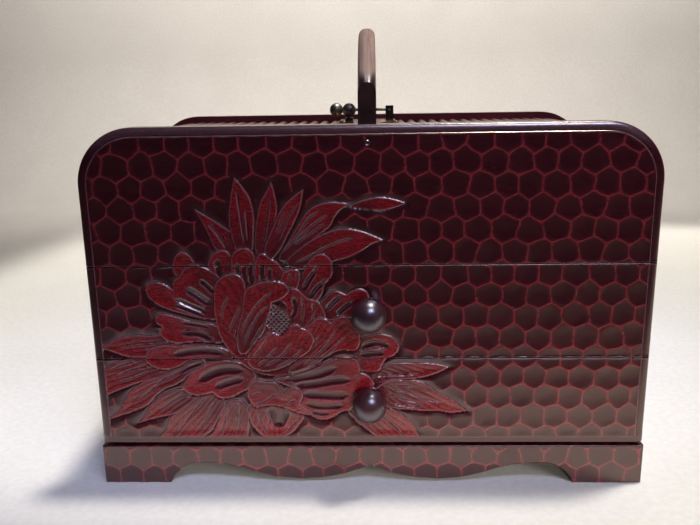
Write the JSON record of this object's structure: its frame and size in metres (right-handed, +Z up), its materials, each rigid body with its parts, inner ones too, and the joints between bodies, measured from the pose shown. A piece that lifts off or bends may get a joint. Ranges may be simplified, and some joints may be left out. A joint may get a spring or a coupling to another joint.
{
  "type": "jewelry box",
  "caption": "Carved lacquer jewelry box with stacked overlay drawers, a two-part tambour lid with a ball clasp, an arched handle and a scalloped plinth.",
  "frame": {"origin": "centre of the bounding box on the surface the feet stand on", "axes": "+X along the width to the viewer's right, -Y out of the carved front, +Z up"},
  "size_m": [0.301, 0.176, 0.25],
  "materials": {
    "carved_lacquer": "carved lacquer, satin gloss",
    "plain_lacquer": "plain dark red-brown lacquer, satin gloss",
    "knob_lacquer": "gloss lacquer",
    "handle_wood": "satin lacquer over wood",
    "lid_wood": "satin lacquered slats on canvas",
    "screw_steel": "dulled steel",
    "clasp_brass": "aged brass",
    "inner_wood": "plain planed wood"
  },
  "bodies": {
    "case": {"front_panel": "carved_lacquer", "back_panel": "plain_lacquer", "left_side_board": "plain_lacquer", "right_side_board": "plain_lacquer", "left_liner": "inner_wood", "right_liner": "inner_wood", "compartment_floor": "inner_wood", "drawer_shelf": "inner_wood", "bottom_board": "inner_wood", "plinth_front": "carved_lacquer", "plinth_back": "plain_lacquer", "plinth_left": "plain_lacquer", "plinth_right": "plain_lacquer", "tambour_ledges": "inner_wood", "handle": "handle_wood", "handle_pins": "screw_steel"},
    "upper_drawer": {"upper_drawer_front": "carved_lacquer", "upper_drawer_left_side": "inner_wood", "upper_drawer_right_side": "inner_wood", "upper_drawer_back": "inner_wood", "upper_drawer_bottom": "inner_wood", "upper_drawer_knob": "knob_lacquer", "upper_drawer_knob_screw": "screw_steel"},
    "lower_drawer": {"lower_drawer_front": "carved_lacquer", "lower_drawer_left_side": "inner_wood", "lower_drawer_right_side": "inner_wood", "lower_drawer_back": "inner_wood", "lower_drawer_bottom": "inner_wood", "lower_drawer_knob": "knob_lacquer", "lower_drawer_knob_screw": "screw_steel"},
    "left_lead": {"left_lead_rail": "lid_wood", "left_lead_slats": "lid_wood", "left_clasp_plate": "clasp_brass", "clasp_keeper": "clasp_brass", "left_clasp_screws": "screw_steel"},
    "right_lead": {"right_lead_rail": "lid_wood", "right_lead_slats": "lid_wood", "right_clasp_plate": "clasp_brass", "clasp_pivot_pin": "clasp_brass", "right_clasp_screws": "screw_steel"},
    "clasp_arm": {"clasp_arm": "clasp_brass"},
    "left_turning_1": {"left_turning_slats_1": "lid_wood"},
    "left_turning_2": {"left_turning_slats_2": "lid_wood"},
    "left_turning_3": {"left_turning_slats_3": "lid_wood"},
    "left_middle": {"left_middle_slats": "lid_wood"},
    "left_corner_1": {"left_corner_slats_1": "lid_wood"},
    "left_corner_2": {"left_corner_slats_2": "lid_wood"},
    "left_corner_3": {"left_corner_slats_3": "lid_wood"},
    "left_tail": {"left_tail_slats": "lid_wood"},
    "right_turning_1": {"right_turning_slats_1": "lid_wood"},
    "right_turning_2": {"right_turning_slats_2": "lid_wood"},
    "right_turning_3": {"right_turning_slats_3": "lid_wood"},
    "right_middle": {"right_middle_slats": "lid_wood"},
    "right_corner_1": {"right_corner_slats_1": "lid_wood"},
    "right_corner_2": {"right_corner_slats_2": "lid_wood"},
    "right_corner_3": {"right_corner_slats_3": "lid_wood"},
    "right_tail": {"right_tail_slats": "lid_wood"}
  },
  "joints": [
    {"name": "upper_drawer_slide", "type": "slide", "parent": "case", "child": "upper_drawer", "axis": [0, -1, 0], "range_m": [0, 0.11]},
    {"name": "lower_drawer_slide", "type": "slide", "parent": "case", "child": "lower_drawer", "axis": [0, -1, 0], "range_m": [0, 0.11]},
    {"name": "left_lid_slide", "type": "slide", "parent": "case", "child": "left_lead", "axis": [-1, 0, 0], "range_m": [0, 0.072]},
    {"name": "right_lid_slide", "type": "slide", "parent": "case", "child": "right_lead", "axis": [1, 0, 0], "range_m": [0, 0.072]},
    {"name": "clasp_arm_hinge", "type": "hinge", "parent": "right_lead", "child": "clasp_arm", "pos_m": [0.0133, 0.007, 0.2035], "axis": [0, 1, 0], "range_deg": [0, 100]},
    {"name": "left_turning_1_turn", "type": "hinge", "parent": "case", "child": "left_turning_1", "pos_m": [-0.08723, 0.007, 0.00908], "axis": [0, -1, 0], "range_deg": [0, 22.55]},
    {"name": "left_turning_2_turn", "type": "hinge", "parent": "case", "child": "left_turning_2", "pos_m": [-0.09263, 0.007, 0.12145], "axis": [0, -1, 0], "range_deg": [0, 56.3]},
    {"name": "left_turning_3_turn", "type": "hinge", "parent": "case", "child": "left_turning_3", "pos_m": [-0.09623, 0.007, 0.14345], "axis": [0, -1, 0], "range_deg": [0, 78.8]},
    {"name": "left_middle_turn", "type": "hinge", "parent": "case", "child": "left_middle", "pos_m": [-0.09803, 0.007, 0.15037], "axis": [0, -1, 0], "range_deg": [0, 90.05]},
    {"name": "left_corner_1_turn", "type": "hinge", "parent": "case", "child": "left_corner_1", "pos_m": [-0.09111, 0.007, 0.14857], "axis": [0, -1, 0], "range_deg": [0, 78.8]},
    {"name": "left_corner_2_turn", "type": "hinge", "parent": "case", "child": "left_corner_2", "pos_m": [-0.06911, 0.007, 0.14497], "axis": [0, -1, 0], "range_deg": [0, 56.3]},
    {"name": "left_corner_3_turn", "type": "hinge", "parent": "case", "child": "left_corner_3", "pos_m": [0.04326, 0.007, 0.13957], "axis": [0, -1, 0], "range_deg": [0, 22.55]},
    {"name": "left_tail_slide", "type": "slide", "parent": "case", "child": "left_tail", "axis": [0, 0, -1], "range_m": [0, 0.0721]},
    {"name": "right_turning_1_turn", "type": "hinge", "parent": "case", "child": "right_turning_1", "pos_m": [0.08723, 0.007, 0.00908], "axis": [0, 1, 0], "range_deg": [0, 22.55]},
    {"name": "right_turning_2_turn", "type": "hinge", "parent": "case", "child": "right_turning_2", "pos_m": [0.09263, 0.007, 0.12145], "axis": [0, 1, 0], "range_deg": [0, 56.3]},
    {"name": "right_turning_3_turn", "type": "hinge", "parent": "case", "child": "right_turning_3", "pos_m": [0.09623, 0.007, 0.14345], "axis": [0, 1, 0], "range_deg": [0, 78.8]},
    {"name": "right_middle_turn", "type": "hinge", "parent": "case", "child": "right_middle", "pos_m": [0.09803, 0.007, 0.15037], "axis": [0, 1, 0], "range_deg": [0, 90.05]},
    {"name": "right_corner_1_turn", "type": "hinge", "parent": "case", "child": "right_corner_1", "pos_m": [0.09111, 0.007, 0.14857], "axis": [0, 1, 0], "range_deg": [0, 78.8]},
    {"name": "right_corner_2_turn", "type": "hinge", "parent": "case", "child": "right_corner_2", "pos_m": [0.06911, 0.007, 0.14497], "axis": [0, 1, 0], "range_deg": [0, 56.3]},
    {"name": "right_corner_3_turn", "type": "hinge", "parent": "case", "child": "right_corner_3", "pos_m": [-0.04326, 0.007, 0.13957], "axis": [0, 1, 0], "range_deg": [0, 22.55]},
    {"name": "right_tail_slide", "type": "slide", "parent": "case", "child": "right_tail", "axis": [0, 0, -1], "range_m": [0, 0.0721]}
  ],
  "couplings": [
    {"joint": "left_turning_1_turn", "follows": "left_lid_slide", "rad_per_m": 5.4542},
    {"joint": "left_turning_2_turn", "follows": "left_lid_slide", "rad_per_m": 13.635},
    {"joint": "left_turning_3_turn", "follows": "left_lid_slide", "rad_per_m": 19.09},
    {"joint": "left_middle_turn", "follows": "left_lid_slide", "rad_per_m": 21.817},
    {"joint": "left_corner_1_turn", "follows": "left_lid_slide", "rad_per_m": 19.09},
    {"joint": "left_corner_2_turn", "follows": "left_lid_slide", "rad_per_m": 13.635},
    {"joint": "left_corner_3_turn", "follows": "left_lid_slide", "rad_per_m": 5.4542},
    {"joint": "left_tail_slide", "follows": "left_lid_slide", "ratio": 1},
    {"joint": "right_turning_1_turn", "follows": "right_lid_slide", "rad_per_m": 5.4542},
    {"joint": "right_turning_2_turn", "follows": "right_lid_slide", "rad_per_m": 13.635},
    {"joint": "right_turning_3_turn", "follows": "right_lid_slide", "rad_per_m": 19.09},
    {"joint": "right_middle_turn", "follows": "right_lid_slide", "rad_per_m": 21.817},
    {"joint": "right_corner_1_turn", "follows": "right_lid_slide", "rad_per_m": 19.09},
    {"joint": "right_corner_2_turn", "follows": "right_lid_slide", "rad_per_m": 13.635},
    {"joint": "right_corner_3_turn", "follows": "right_lid_slide", "rad_per_m": 5.4542},
    {"joint": "right_tail_slide", "follows": "right_lid_slide", "ratio": 1}
  ]
}
